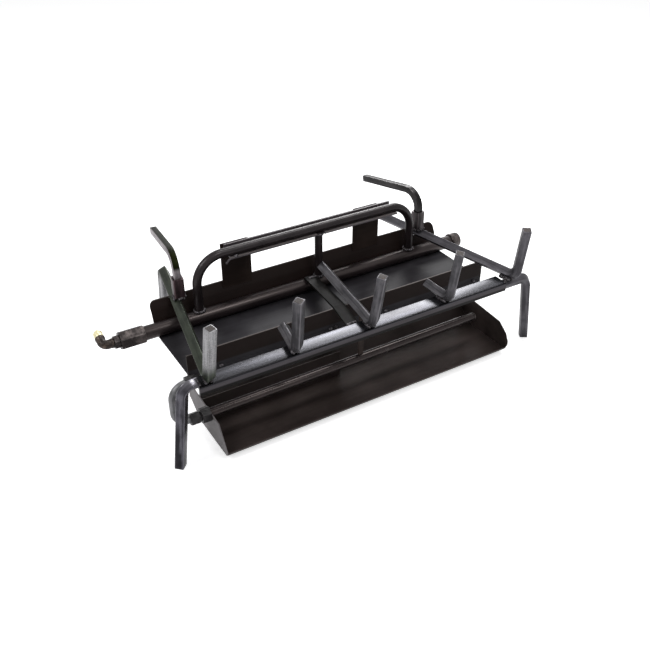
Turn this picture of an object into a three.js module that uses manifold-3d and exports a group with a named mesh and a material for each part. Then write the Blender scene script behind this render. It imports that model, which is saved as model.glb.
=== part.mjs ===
// Gas log set for a fireplace: a log grate of square bar, a pan burner, a loop burner
// above it and an ember burner in front. The logs and the embers are left out.
// Millimetres. X runs along the front rail, Y to the back, Z up from the floor.
// Y starts at the front legs and X at the middle between the front feet.

import * as THREE from "three";
import { mergeVertices } from "three/addons/utils/BufferGeometryUtils.js";
import Module from "manifold-3d";

const wasm = await Module();
wasm.setup();

const rad = THREE.MathUtils.degToRad;

// Driving dimensions

const gap = 0.3;                      // between pieces that touch
const bar = 12.7;                     // square grate bar, always set on its edge
const halfEdge = bar / Math.SQRT2;    // from the bar's middle to its edge
const barBend = 15;                   // middle-line radius of a bend in the bar
const sheet = 1.6;                    // thickness of the folded sheet
const plate = 3.2;                    // thickness of straps, angles and brackets

const footSpacing = 609.6;
const legSplayShare = 0.12;           // sideways lean of a front leg, per unit of height
const legArms = { left: 19.76, right: 48.62 };   // from a front leg's corner to the rail
const legTwists = { left: 0, right: 14 };    // degrees that each bar turned as it was bent
const sideTwists = { left: 20, right: 0 };
const footCut = 10;                   // bar cut off below the floor, to level each foot

const railTop = 123.5;
const legRises = { left: 3.5, right: -7 };   // of the front legs' arms over the rail's top
const legTops = { left: railTop + legRises.left, right: railTop + legRises.right };
const railDepth = 25.4;
const railHeight = 14;
const railFront = -8.2;

const fingerPitch = 128.7;
const fingerY = -10.5;                // where the bars turn up into fingers
const fingerRise = 85;
const fingerLean = 12.6;              // how far a finger's tip leans forward
const fingerTuck = 3.1;               // how far the outer tips lean inward
const secondTailEnd = 49;             // where the short tails end
const fourthTailEnd = 42;
const secondHeading = 11;             // degrees that each inner bar runs to the right
const middleHeading = 7.5;
const fourthHeading = -2;
const middleShift = -6;               // the middle bar, to the left of the middle
const middleSway = 5;                 // how far its tip leans to the right
const middleRise = 82;
const fourthRise = 81;

const sideTaperShares = { left: 0.19, right: 0.203 };   // inward run of a side bar, per unit of depth
const sideInset = 49.8;               // of the side bars from the front feet
const sideAtLegs = footSpacing / 2 - sideInset;
const rearY = 294;                    // where the side bars turn down into rear legs
const rearFootOut = 6;                // how far a rear leg's foot stands outside its bend

const postBar = 10.5;                 // the loose posts are of a thinner bar
const socketClearance = 0.6;          // round a post in its socket
const socketWall = 2.1;
const socketOuter = postBar + 2 * (socketClearance + socketWall);
const socketHeight = 30;
const socketInset = 40.5;             // of the sockets from the side bars' front ends
const socketX = sideAtLegs - socketInset;
const socketY = 187.5;
const postStub = 3.4;                 // straight run of a post above its socket
const armBend = 27;
const armReach = 134.5;
const armDrop = 21;
const armTuck = 17.5;                 // how far an arm's end lies inside its socket

const pipeOuter = 21.3;
const pipeWall = 2.8;
const pipeY = 176.4;

const panInset = 48;                  // of the pan's ends from the front feet
const panHalf = footSpacing / 2 - panInset;
const panDepth = 32.7;
const panFloor = railTop - panDepth;
const panFrontY = 65.8;
const panFrontTop = railTop;          // the bars lie on the rail and on this wall
const panClearance = 0.6;             // from the burner tube to the pan's cut corner
const panBackY = pipeY + (Math.SQRT2 - 1) * (pipeOuter / 2 + sheet) - gap + Math.SQRT2 * panClearance;
const panCornerShare = 0.28;          // of the burner tube, whose side it clears
const panCorner = pipeOuter * panCornerShare;
const panWallRun = 12.7;
const panWallY = panBackY + panWallRun;
const panWallRise = 30.2;
const panWallTop = panFloor + panWallRise;
const panLipRun = 8.6;
const panLipY = panWallY + panLipRun;
const panLipRise = 16.2;
const panLipTop = panWallTop + panLipRise;
const panLipRound = 9;                // corner radius at each end of the lip

const pipeOverhang = 20.2;            // of the burner tube beyond each end of the pan
const pipeLeft = -panHalf - pipeOverhang;
const pipeRight = panHalf + pipeOverhang;
const capLength = 18;
const capOuter = 26;
const couplingLength = 37;
const couplingFlats = 25;
const bushingLength = 8;
const bushingFlats = 18;
const orificeBore = 2.4;

const loopOuter = 13.7;
const loopWall = 2.2;
const loopRoom = 25;                  // from a post's socket to the loop's leg
const loopHalf = socketX - loopRoom;
const loopRise = 84.2;                // of the loop's middle line over the burner tube
const loopBend = 42;
const riserX = 15.5;
const riserOuter = 12.7;

const shelfInsets = { left: 53.5, right: 31.5 };   // of the shelf from the loop's legs
const shelfDepth = 19;
const shelfRise = 13.4;
const bracketInset = 49;
const bracketWidth = 49;
const bracketOuter = loopHalf - bracketInset;
const bracketInner = bracketOuter - bracketWidth;
const bracketRise = 3.5;              // of a bracket's top over the loop's middle line
const bracketClip = 13;
const bracketSheet = 2.5;
const clipTurn = 25;                  // degrees that a bracket's cut corner is turned
const clipRiseShare = 0.35;

const strapWidth = 19.05;
const strapX = -24.4;                 // the strap's middle line at the front legs

const emberInset = 58.5;              // of the ember burner's ends from the front feet
const emberHalf = footSpacing / 2 - emberInset;
const emberFrontY = -24.5;
const emberFrontZ = 12.3;
const emberFloor = 7;
const emberShoulderY = -1.5;
const emberShoulderZ = 48.6;
const emberNoseY = -19.2;             // the right end plate is fuller in front
const emberNoseTop = 35.3;
const emberNoseFront = -25.5;
const emberNoseBrow = 23.4;
const emberNoseChin = 17;
const emberRiseStart = 66;
const emberRiseY = 96;
const emberRiseZ = 28;
const emberTabLap = 4;                // how far the tabs reach behind the tray
const emberTabEnd = emberRiseY + emberTabLap;
const emberTabWidth = 14;
const emberTabY = emberTabEnd - emberTabWidth;
const emberTabStep = 9;
const emberBackY = emberTabY - emberTabStep;
const emberBackZ = 54;
const baffleInset = 10;               // in front of the tray's rise
const baffleY = emberRiseStart - baffleInset;
const baffleTop = 52;
const baffleRight = -20;
const emberPipeY = 27;
const emberPipeZ = 48.5;
const emberPipeInset = 34.3;          // of its free end from the right end plate
const emberPipeRight = emberHalf - emberPipeInset;
const emberPipeRise = 4;              // how much higher its free end lies
const emberPipeOuter = 13.7;
const emberPipeWall = 1.6;
const strutWidth = 8;                 // of the ember tube's hanger

const feedOuter = 9.5;
const feedWall = 1;
const feedRadius = 21;
const feedDrop = 62.5;
const nippleOuter = 11.8;
const nippleLength = 7.5;
const feedNutFlats = 15.5;
const nutLength = 13;
const lockNutFlats = 20;
const lockNutLength = 13;
const tubeSeatShare = 0.5;            // how far the tube, the fittings and the ember pipe
const nippleSeatShare = 0.4;          // reach into the nuts that hold them
const pipeSeatShare = 0.55;

const elbowOuter = 14.5;
const elbowReach = 15;
const elbowTilt = 20;                 // degrees that the inlet points above level
const flareOuter = 13.5;
const flareLength = 12;
const flareBarrelShare = 0.7;         // straight part of the flared end

const portBore = 2;                   // gas ports, out of sight under and behind the tubes
const portPitch = 32;
const portInset = 40;                 // of the end ports from a tube's ends and bends

// Solids, cuts and routes

const mergeShare = 1e-5;              // of the bar: points this near are one point
const half = 1 / 2;
const at = (x, y, z) => new THREE.Vector3(x, y, z);

function solidOf(geometry) {
  const bare = geometry.clone();
  bare.deleteAttribute("normal");
  bare.deleteAttribute("uv");
  const merged = mergeVertices(bare, bar * mergeShare);
  return new wasm.Manifold(new wasm.Mesh({
    numProp: 3,
    vertProperties: new Float32Array(merged.attributes.position.array),
    triVerts: new Uint32Array(merged.index.array),
  }));
}

function geometryOf(solid) {
  const { vertProperties, triVerts } = solid.getMesh();
  const geometry = new THREE.BufferGeometry();
  geometry.setAttribute("position", new THREE.BufferAttribute(vertProperties, 3));
  geometry.setIndex(new THREE.BufferAttribute(triVerts, 1));
  return geometry;
}

function cut(geometry, ...cutters) {
  let solid = solidOf(geometry);
  for (const cutter of cutters) {
    solid = solid.subtract(solidOf(cutter));
  }
  return geometryOf(solid);
}

// Straight runs between corners, with a round bend at each corner. The section's first
// axis stays on the side vector, so a bar keeps the same edge up all along its route.
class Route extends THREE.Curve {
  constructor(corners, radius, side, stepsPerBend = 6) {
    super();
    this.side = side;
    this.stations = [];
    const last = corners.length - 1;
    const runs = corners.slice(1).map((corner, i) => corner.clone().sub(corners[i]).normalize());
    this.stations.push({ point: corners[0], tangent: runs[0] });
    for (let i = 1; i < last; i += 1) {
      this.addBend(corners[i], runs[i - 1], runs[i], radius, stepsPerBend);
    }
    this.stations.push({ point: corners[last], tangent: runs[last - 1] });
  }

  addBend(corner, before, after, radius, steps) {
    const angle = before.angleTo(after);
    const setback = radius * Math.tan(angle / 2);
    const axis = before.clone().cross(after).normalize();
    const start = corner.clone().addScaledVector(before, -setback);
    const inward = axis.clone().cross(before);
    const centre = start.clone().addScaledVector(inward, radius);
    for (let step = 0; step <= steps; step += 1) {
      const turn = (angle * step) / steps;
      const spoke = inward.clone().negate().applyAxisAngle(axis, turn);
      this.stations.push({
        point: centre.clone().addScaledVector(spoke, radius),
        tangent: before.clone().applyAxisAngle(axis, turn),
      });
    }
  }

  getPointAt(along) {
    return this.stations[Math.round(along * (this.stations.length - 1))].point.clone();
  }

  computeFrenetFrames() {
    const tangents = this.stations.map((station) => station.tangent);
    const normals = tangents.map((t) => this.side.clone().addScaledVector(t, -t.dot(this.side)).normalize());
    const binormals = tangents.map((t, i) => t.clone().cross(normals[i]));
    return { tangents, normals, binormals };
  }

  extrude(section) {
    return new THREE.ExtrudeGeometry(section, { steps: this.stations.length - 1, extrudePath: this });
  }
}

function polygon(points) {
  return new THREE.Shape(points.map(([x, y]) => new THREE.Vector2(x, y)));
}

function ringPoints(radius, sides, start = 0) {
  const points = [];
  for (let i = 0; i < sides; i += 1) {
    const turn = start + (2 * Math.PI * i) / sides;
    points.push([radius * Math.cos(turn), radius * Math.sin(turn)]);
  }
  return points;
}

// A square bar on its edge, and one that stands flat
const edgeSection = (size, twist = 0) => polygon(ringPoints(size / Math.SQRT2, 4, rad(twist)));
const flatSection = (size) => polygon(ringPoints(size / Math.SQRT2, 4, Math.PI / 4));

function roundSection(radius, bore = 0, sides = 16) {
  const section = polygon(ringPoints(radius, sides));
  if (bore > 0) {
    section.holes.push(polygon(ringPoints(bore, sides)));
  }
  return section;
}

// A round piece on the X axis, from a list of [distance, radius] pairs along it
function turnedAlongX(profile, sides = 32) {
  const points = profile.map(([along, radius]) => new THREE.Vector2(radius, along));
  return new THREE.LatheGeometry(points, sides).rotateZ(-Math.PI / 2);
}

function pipeAlongX(from, to, outer, inner, sides = 32) {
  return turnedAlongX([[from, inner], [from, outer], [to, outer], [to, inner], [from, inner]], sides);
}

function rodAlongX(from, to, radius, sides = 24) {
  return turnedAlongX([[from, 0], [from, radius], [to, radius], [to, 0]], sides);
}

function hexAlongX(from, to, flats, bore) {
  const section = polygon(ringPoints(flats / 2 / Math.cos(Math.PI / 6), 6));
  section.holes.push(polygon(ringPoints(bore, 24)));
  const geometry = new THREE.ExtrudeGeometry(section, { depth: to - from, bevelEnabled: false });
  return geometry.rotateY(Math.PI / 2).translate(from, 0, 0);
}

// What a row of gas ports takes off the underside of a tube on the X axis
function ports(from, to, outside, wall) {
  const count = Math.floor((to - from) / portPitch) + 1;
  const start = (from + to - (count - 1) * portPitch) / 2;
  return Array.from({ length: count }, (_, i) => {
    const port = new THREE.CylinderGeometry(portBore / 2, portBore / 2, 2 * wall, 8);
    return port.rotateX(Math.PI / 2).translate(start + i * portPitch, 0, wall / 2 - outside);
  });
}

// A closed outline around a folded line: the line itself, and back along its other face
function foldedOutline(line, thickness) {
  const far = line.map((point, i) => {
    const here = new THREE.Vector2(...point);
    const before = i > 0 ? here.clone().sub(new THREE.Vector2(...line[i - 1])).normalize() : null;
    const after = i < line.length - 1 ? new THREE.Vector2(...line[i + 1]).sub(here).normalize() : null;
    const a = before ?? after;
    const b = after ?? before;
    const mitre = new THREE.Vector2(-a.y - b.y, a.x + b.x).normalize();
    const reach = thickness / mitre.dot(new THREE.Vector2(-a.y, a.x));
    return [here.x + mitre.x * reach, here.y + mitre.y * reach];
  });
  return polygon([...line, ...far.reverse()]);
}

// An outline drawn in Y and Z, pushed out along X
function alongX(outline, from, to) {
  const geometry = new THREE.ExtrudeGeometry(outline, { depth: to - from, bevelEnabled: false });
  const toFrame = new THREE.Matrix4().makeBasis(at(0, 1, 0), at(0, 0, 1), at(1, 0, 0));
  return geometry.applyMatrix4(toFrame).translate(from, 0, 0);
}

function box(from, to) {
  const size = to.clone().sub(from);
  const middle = from.clone().add(to).multiplyScalar(half);
  return new THREE.BoxGeometry(size.x, size.y, size.z).translate(middle.x, middle.y, middle.z);
}

// Finishes

const finishes = {
  bar: { color: 0x57595c, roughness: 0.45, metalness: 0.6 },
  rail: { color: 0x85868f, roughness: 0.4, metalness: 0.6 },
  sheet: { color: 0x4a4542, roughness: 0.5, metalness: 0.4 },
  pipe: { color: 0x4b4347, roughness: 0.4, metalness: 0.5 },
  tube: { color: 0x9a9a9c, roughness: 0.4, metalness: 0.7 },
  brass: { color: 0xc9b26a, roughness: 0.3, metalness: 0.9 },
};

const assembly = new THREE.Group();
const logSet = new THREE.Group();
logSet.add(assembly);

function add(name, geometry, finish, position = at(0, 0, 0), group = assembly) {
  const mesh = new THREE.Mesh(geometry, new THREE.MeshStandardMaterial(finishes[finish]));
  mesh.name = name;
  mesh.position.copy(position);
  group.add(mesh);
  return mesh;
}

const hands = { left: -1, right: 1 };

// Grate

const barHeight = railTop + gap + halfEdge;
const legCornerX = (side) => footSpacing / 2 - legSplayShare * legTops[side];
const railLeft = legArms.left - legCornerX("left");
const railRight = legCornerX("right") - legArms.right;
const sideX = (side, y) => sideAtLegs - sideTaperShares[side] * y;
const belowFloor = box(at(-footSpacing, -rearY, -footCut - bar), at(footSpacing, 2 * rearY, 0));

const headingSide = (turn) => at(Math.cos(turn), -Math.sin(turn), 0);

// The side bar of one side: its finger, its run to the back and its rear leg
function sideBar(side, size) {
  const hand = hands[side];
  const corner = at(hand * sideX(side, fingerY), fingerY, barHeight);
  const tip = corner.clone().add(at(-hand * fingerTuck, -fingerLean, fingerRise));
  const rear = at(hand * sideX(side, rearY), rearY, barHeight);
  const splay = (rearFootOut * (barHeight + footCut)) / barHeight;
  const foot = at(rear.x + hand * splay, rearY, -footCut);
  const acrossBar = headingSide(-hand * Math.atan(sideTaperShares[side]));
  const route = new Route([tip, corner, rear, foot], barBend, acrossBar);
  return route.extrude(edgeSection(size, sideTwists[side]));
}

function innerBar({ x, heading, end, rise = fingerRise, sway = 0 }, size = bar) {
  const turn = rad(heading);
  const corner = at(x, fingerY, barHeight);
  const back = at(Math.sin(turn), Math.cos(turn), 0);
  const tip = corner.clone().addScaledVector(back, -fingerLean).add(at(sway, 0, rise));
  const tail = corner.clone().addScaledVector(back, (end - fingerY) / Math.cos(turn));
  return new Route([tip, corner, tail], barBend, headingSide(turn)).extrude(edgeSection(size));
}

function frontLeg(side) {
  const hand = hands[side];
  const top = legTops[side];
  const foot = at(hand * (footSpacing / 2 + legSplayShare * footCut), 0, -footCut);
  const corner = at(hand * legCornerX(side), 0, top);
  const end = at(hand > 0 ? railRight + gap : railLeft - gap, 0, top);
  const leg = new Route([foot, corner, end], barBend, at(0, 1, 0));
  return cut(leg.extrude(edgeSection(bar, legTwists[side])), sideBar(side, bar + 2 * gap), belowFloor);
}

const rail = foldedOutline([
  [railFront, railTop - railHeight],
  [railFront, railTop],
  [railFront + railDepth, railTop],
], -plate);
add("front_rail", alongX(rail, railLeft, railRight), "rail");
for (const side of Object.keys(hands)) {
  add(`${side}_front_leg`, frontLeg(side), "bar");
  add(`${side}_side_bar`, cut(sideBar(side, bar), belowFloor), "bar");
}

const riserFront = pipeY - riserOuter / 2 - gap;
const second = { x: -fingerPitch, heading: secondHeading, end: secondTailEnd };
const middle = { x: middleShift, heading: middleHeading, end: riserFront, rise: middleRise, sway: middleSway };
const fourth = { x: fingerPitch, heading: fourthHeading, end: fourthTailEnd, rise: fourthRise };
add("second_finger", innerBar(second), "bar");
add("middle_finger", innerBar(middle), "bar");
add("fourth_finger", innerBar(fourth), "bar");

// Sockets on the side bars, and the posts that stand loose in them

const socketFoot = barHeight + halfEdge + gap;
const armTurn = Math.atan(armTuck / armReach);
const armFall = Math.atan(armDrop / Math.hypot(armTuck, armReach));
const armSetback = armBend * Math.tan((Math.PI / 2 + armFall) / 2);

for (const [side, hand] of Object.entries(hands)) {
  const foot = at(hand * socketX, socketY, socketFoot);
  const acrossArm = headingSide(-hand * armTurn);
  const sleeve = flatSection(socketOuter);
  sleeve.holes.push(flatSection(postBar + 2 * socketClearance));
  const sleeveTop = foot.clone().add(at(0, 0, socketHeight));
  add(`${side}_post_socket`, new Route([foot, sleeveTop], barBend, acrossArm).extrude(sleeve), "bar");

  const corner = sleeveTop.clone().add(at(0, 0, postStub + armSetback));
  const end = corner.clone().add(at(-hand * armTuck, armReach, -armDrop));
  const post = new Route([foot, corner, end], armBend, acrossArm, 8);
  add(`${side}_rear_post`, post.extrude(flatSection(postBar)), "bar");
}

// Pan burner

const panLine = [
  [panFrontY, panFrontTop],
  [panFrontY, panFloor],
  [panBackY, panFloor],
  [panBackY + panCorner, panFloor + panCorner],
  [panWallY, panWallTop],
  [panLipY, panLipTop],
];

// What a rounded corner takes off the lip's end, drawn in X and Z
function lipCorner(hand) {
  const middleX = hand * (panHalf - panLipRound);
  const middleZ = panLipTop - panLipRound;
  const outline = new THREE.Shape();
  outline.moveTo(hand * (panHalf + panLipRound), middleZ);
  outline.lineTo(hand * (panHalf + panLipRound), panLipTop + panLipRound);
  outline.lineTo(middleX, panLipTop + panLipRound);
  outline.absarc(middleX, middleZ, panLipRound, Math.PI / 2, hand > 0 ? 0 : Math.PI, hand > 0);
  const corner = new THREE.ExtrudeGeometry(outline, { depth: panLipY, bevelEnabled: false, curveSegments: 6 });
  return corner.rotateX(Math.PI / 2).translate(0, panLipY + panLipRound, 0);
}

const pan = cut(
  alongX(foldedOutline(panLine, sheet), -panHalf, panHalf),
  sideBar("left", bar + 2 * gap),
  sideBar("right", bar + 2 * gap),
  lipCorner(-1),
  lipCorner(1),
);
add("main_pan", pan, "sheet");

const pipeZ = panFloor + sheet + gap + pipeOuter / 2;
const pipeAxis = at(0, pipeY, pipeZ);
const mainPipe = pipeAlongX(pipeLeft, pipeRight, pipeOuter / 2, pipeOuter / 2 - pipeWall);
const mainPorts = ports(portInset + pipeLeft, pipeRight - portInset, pipeOuter / 2, pipeWall);
add("main_burner_tube", cut(mainPipe, ...mainPorts), "pipe", pipeAxis);

const capLip = capOuter / 2 - pipeWall / 2;
const cap = turnedAlongX([
  [0, 0],
  [0, capLip],
  [pipeWall, capOuter / 2],
  [capLength - pipeWall, capOuter / 2],
  [capLength, capLip],
  [capLength, 0],
]);
add("end_cap", cap, "pipe", at(pipeRight + gap, pipeY, pipeZ));

const couplingLeft = pipeLeft - couplingLength;
const bore = pipeOuter / 2 - pipeWall;
add("inlet_coupling", hexAlongX(couplingLeft, pipeLeft - gap, couplingFlats, bore), "pipe", pipeAxis);
const orifice = pipeAlongX(
  couplingLeft + pipeWall,
  couplingLeft + pipeWall + bushingLength,
  bore - gap,
  orificeBore / 2,
);
add("gas_orifice", orifice, "brass", pipeAxis);
const bushingLeft = couplingLeft - gap - bushingLength;
add("inlet_bushing", hexAlongX(bushingLeft, couplingLeft - gap, bushingFlats, bore / 2), "pipe", pipeAxis);

// Inlet elbow with its flared end, in a group that turns about the burner tube's axis

const inlet = new THREE.Group();
inlet.position.set(bushingLeft - gap, pipeY, pipeZ);
inlet.rotation.x = rad(elbowTilt);
assembly.add(inlet);

const flareBore = bore / 2;
const elbowEnd = at(-elbowReach, elbowReach, 0);
const elbowRoute = new Route([at(0, 0, 0), at(-elbowReach, 0, 0), elbowEnd], elbowOuter / 2, at(0, 0, 1));
add("inlet_elbow", elbowRoute.extrude(roundSection(elbowOuter / 2, flareBore)), "pipe", at(0, 0, 0), inlet);
const flare = turnedAlongX([
  [0, flareBore],
  [0, flareOuter / 2],
  [flareLength * flareBarrelShare, flareOuter / 2],
  [flareLength, flareBore + gap],
  [flareLength, flareBore],
  [0, flareBore],
], 24);
flare.rotateZ(Math.PI / 2);
add("flare_end", flare, "brass", elbowEnd.clone().add(at(0, gap, 0)), inlet);

// Loop burner above the pan

const loopFoot = pipeZ + pipeOuter / 2 + gap;
const loopTop = loopFoot + loopRise;
const loopRoute = new Route(
  [
    at(-loopHalf, pipeY, loopFoot),
    at(-loopHalf, pipeY, loopTop),
    at(loopHalf, pipeY, loopTop),
    at(loopHalf, pipeY, loopFoot),
  ],
  loopBend,
  at(0, 1, 0),
  12,
);
const loopTube = loopRoute.extrude(roundSection(loopOuter / 2, loopOuter / 2 - loopWall, 20));
const loopPorts = ports(portInset - loopHalf, loopHalf - portInset, loopOuter / 2, loopWall);
loopPorts.forEach((port) => port.rotateX(Math.PI / 2).translate(0, pipeY, loopTop));
add("loop_burner", cut(loopTube, ...loopPorts), "pipe");

const riserTop = loopTop - loopOuter / 2 - gap;
const riserTube = new THREE.CylinderGeometry(riserOuter / 2, riserOuter / 2, riserTop - loopFoot, 24);
riserTube.rotateX(Math.PI / 2);
const riserMiddle = at(riserX, pipeY, (riserTop + loopFoot) / 2);
add("centre_riser", riserTube, "pipe", riserMiddle);

// Shelf angle under the loop, on two brackets that stand on the pan's lip

const shelfFront = pipeY;
const shelfBack = shelfFront + shelfDepth - plate;
const shelf = foldedOutline([
  [shelfFront, riserTop],
  [shelfBack, riserTop],
  [shelfBack, riserTop + shelfRise - plate],
], -plate);
const riserNotch = new THREE.CylinderGeometry(riserOuter / 2 + gap, riserOuter / 2 + gap, riserTop, 24);
riserNotch.rotateX(Math.PI / 2).translate(riserX, pipeY, riserTop);
const loopSpace = loopRoute.extrude(roundSection(loopOuter / 2 + gap, 0, 20));
const shelfSheet = alongX(shelf, shelfInsets.left - loopHalf, loopHalf - shelfInsets.right);
add("loop_shelf", cut(shelfSheet, riserNotch, loopSpace), "sheet");

const lipRun = at(0, panLipY - panWallY, panLipTop - panWallTop);
const lipSkin = ((sheet + gap) * lipRun.length()) / lipRun.y;
const lipHeight = (y) => panWallTop + ((y - panWallY) * lipRun.z) / lipRun.y + lipSkin;
const bracketTop = loopTop + bracketRise;
const bracketFront = shelfBack + plate + gap;
const bracketBack = bracketFront + bracketSheet;
const bracketOutline = polygon([
  [bracketFront, lipHeight(bracketFront)],
  [bracketBack, lipHeight(bracketBack)],
  [bracketBack, bracketTop],
  [bracketFront, bracketTop],
]);
for (const [side, from, to] of [["left", -bracketOuter, -bracketInner], ["right", bracketInner, bracketOuter]]) {
  const clip = new THREE.BoxGeometry(bracketClip, railDepth, bracketClip);
  clip.rotateY(rad(clipTurn)).translate(to, bracketBack, bracketTop + bracketClip * clipRiseShare);
  add(`${side}_shelf_bracket`, cut(alongX(bracketOutline, from, to), clip), "sheet");
}

// Strap from the rail over the pan's front wall to the burner tube

const strapTurn = rad(middleHeading);
const alongStrap = (y) => y / Math.cos(strapTurn);
const strapCorner = (strapWidth * Math.sin(strapTurn)) / 2;
const strapLine = [
  [alongStrap(railFront + railDepth + gap + strapCorner), railTop - plate],
  [alongStrap(panFrontY), panFrontTop + gap],
  [alongStrap(pipeY), pipeZ + pipeOuter / 2 + gap],
];
const strap = new THREE.ExtrudeGeometry(foldedOutline(strapLine, plate), { depth: strapWidth, bevelEnabled: false });
strap.applyMatrix4(new THREE.Matrix4().makeBasis(at(0, 1, 0), at(0, 0, 1), at(1, 0, 0)));
strap.translate(-strapWidth / 2, 0, 0).rotateZ(-strapTurn);
add("centre_strap", strap, "bar", at(strapX, 0, 0));

// Ember burner

const emberEnd = (front) => polygon([
  [emberFrontY + plate, emberFloor + gap],
  [emberRiseStart, emberFloor + gap],
  [emberRiseY, emberRiseZ],
  [emberTabEnd, emberRiseZ],
  [emberTabEnd, panFloor - gap],
  [emberTabY, panFloor - gap],
  [emberBackY, emberBackZ],
  [emberShoulderY, emberShoulderZ],
  ...front,
]);
const leftEnd = emberEnd([[emberFrontY, emberFrontZ]]);
const rightEnd = emberEnd([
  [emberNoseY, emberNoseTop],
  [emberNoseFront, emberNoseBrow],
  [emberNoseFront, emberNoseChin],
]);
const emberHole = rodAlongX(-footSpacing, 0, emberPipeOuter / 2 + gap).translate(0, emberPipeY, emberPipeZ);
add("left_ember_end", cut(alongX(leftEnd, -emberHalf, -emberHalf + sheet), emberHole), "sheet");
add("right_ember_end", alongX(rightEnd, emberHalf - sheet, emberHalf), "sheet");

const emberInside = emberHalf - sheet - gap;
const emberTray = foldedOutline([
  [emberFrontY, emberFrontZ],
  [emberFrontY + plate, emberFloor],
  [emberRiseStart, emberFloor],
  [emberRiseY, emberRiseZ],
], sheet);
add("ember_tray", alongX(emberTray, -emberInside, emberInside), "sheet");

const baffle = alongX(
  foldedOutline([[baffleY, emberFloor + sheet + gap], [baffleY, baffleTop]], sheet),
  -emberInside,
  baffleRight,
);
add("ember_baffle", baffle, "sheet");

// The ember tube rises a little from the left end plate to its own free end
const emberPipe = new THREE.Group();
emberPipe.position.set(-emberHalf, emberPipeY, emberPipeZ);
emberPipe.rotation.y = -Math.atan(emberPipeRise / (emberHalf + emberPipeRight));
assembly.add(emberPipe);
const emberPipeLength = emberHalf + emberPipeRight;
const emberPipeTube = pipeAlongX(
  -lockNutLength * pipeSeatShare,
  emberPipeLength,
  emberPipeOuter / 2,
  emberPipeOuter / 2 - emberPipeWall,
  24,
);
const emberPorts = ports(portInset, emberPipeLength - portInset, emberPipeOuter / 2, emberPipeWall);
add("ember_burner_tube", cut(emberPipeTube, ...emberPorts), "pipe", at(0, 0, 0), emberPipe);
const emberPlug = rodAlongX(emberPipeLength + gap, emberPipeLength + plate, emberPipeOuter / 2);
add("ember_plug", emberPlug, "pipe", at(0, 0, 0), emberPipe);

const hangerX = middle.x + (emberPipeY - fingerY) * Math.tan(rad(middle.heading));
const hangerFoot = emberPipeZ + (emberPipeRise * (hangerX + emberHalf)) / emberPipeLength + emberPipeOuter / 2 + gap;
const hanger = box(
  at(hangerX - strutWidth / 2, emberPipeY - plate / 2, hangerFoot),
  at(hangerX + strutWidth / 2, emberPipeY + plate / 2, barHeight - halfEdge + strutWidth / 2),
);
add("ember_hanger", cut(hanger, innerBar(middle, bar + 2 * gap)), "sheet");

// Feed tube from the ember burner's own gas fitting

const lockLeft = -emberHalf - gap - lockNutLength;
const fittingEnd = lockLeft + lockNutLength * nippleSeatShare;
const nutRight = fittingEnd - nippleLength - gap;
const nutLeft = nutRight - nutLength;
const feedOut = nutLeft - gap - feedRadius;
const feedX = nutLeft + nutLength * tubeSeatShare;
const feedRoute = new Route(
  [
    at(feedX, emberPipeY, emberPipeZ + feedDrop),
    at(feedOut, emberPipeY, emberPipeZ + feedDrop),
    at(feedOut, emberPipeY, emberPipeZ),
    at(feedX, emberPipeY, emberPipeZ),
  ],
  feedRadius,
  at(0, 1, 0),
  8,
);
add("feed_tube", feedRoute.extrude(roundSection(feedOuter / 2, feedOuter / 2 - feedWall)), "tube");

// A nut holds each end of the feed tube, and a short round fitting leads on from it
for (const [nut, fitting, z] of [
  ["feed_lower_nut", "feed_nipple", emberPipeZ],
  ["feed_upper_nut", "feed_inlet", emberPipeZ + feedDrop],
]) {
  const axis = at(0, emberPipeY, z);
  add(nut, hexAlongX(nutLeft, nutRight, feedNutFlats, feedOuter / 2 + gap), "pipe", axis);
  const fittingTube = pipeAlongX(nutRight + gap, fittingEnd, nippleOuter / 2, feedOuter / 2 - feedWall, 24);
  add(fitting, fittingTube, "pipe", axis);
}
const lockNut = hexAlongX(lockLeft, lockLeft + lockNutLength, lockNutFlats, emberPipeOuter / 2 + gap);
add("ember_lock_nut", lockNut, "pipe", at(0, emberPipeY, emberPipeZ));

// The origin lies under the middle of the whole set, at floor height
const bounds = new THREE.Box3().setFromObject(assembly, true);
const middleOfAll = bounds.getCenter(at(0, 0, 0));
assembly.position.set(-middleOfAll.x, -middleOfAll.y, -bounds.min.z);

export default logSet;
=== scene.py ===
# Gas log set for a fireplace, without its logs: grate, pan burner, loop burner and ember burner.
# Shapes are worked out in millimetres from the grate's own zero point, at the front legs.

import math

import bmesh
import bpy
import numpy as np
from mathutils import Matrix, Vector


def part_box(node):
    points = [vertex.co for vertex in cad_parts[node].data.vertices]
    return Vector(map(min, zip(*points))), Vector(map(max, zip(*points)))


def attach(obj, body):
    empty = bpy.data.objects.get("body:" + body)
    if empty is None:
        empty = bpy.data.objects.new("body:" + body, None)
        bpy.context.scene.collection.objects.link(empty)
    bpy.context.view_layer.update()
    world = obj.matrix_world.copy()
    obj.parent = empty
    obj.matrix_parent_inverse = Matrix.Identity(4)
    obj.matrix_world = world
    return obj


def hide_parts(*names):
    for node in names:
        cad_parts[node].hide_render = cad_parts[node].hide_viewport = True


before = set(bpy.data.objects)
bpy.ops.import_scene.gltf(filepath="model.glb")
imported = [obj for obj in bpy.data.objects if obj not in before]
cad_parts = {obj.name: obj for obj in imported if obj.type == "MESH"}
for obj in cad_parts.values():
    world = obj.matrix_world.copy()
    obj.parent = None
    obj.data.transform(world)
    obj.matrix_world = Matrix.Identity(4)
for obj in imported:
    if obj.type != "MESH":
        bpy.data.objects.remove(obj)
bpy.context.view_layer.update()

FIXED = "grate_and_burners"

# The camera comes first: in metres and degrees, it looks down and a little to the right

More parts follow.
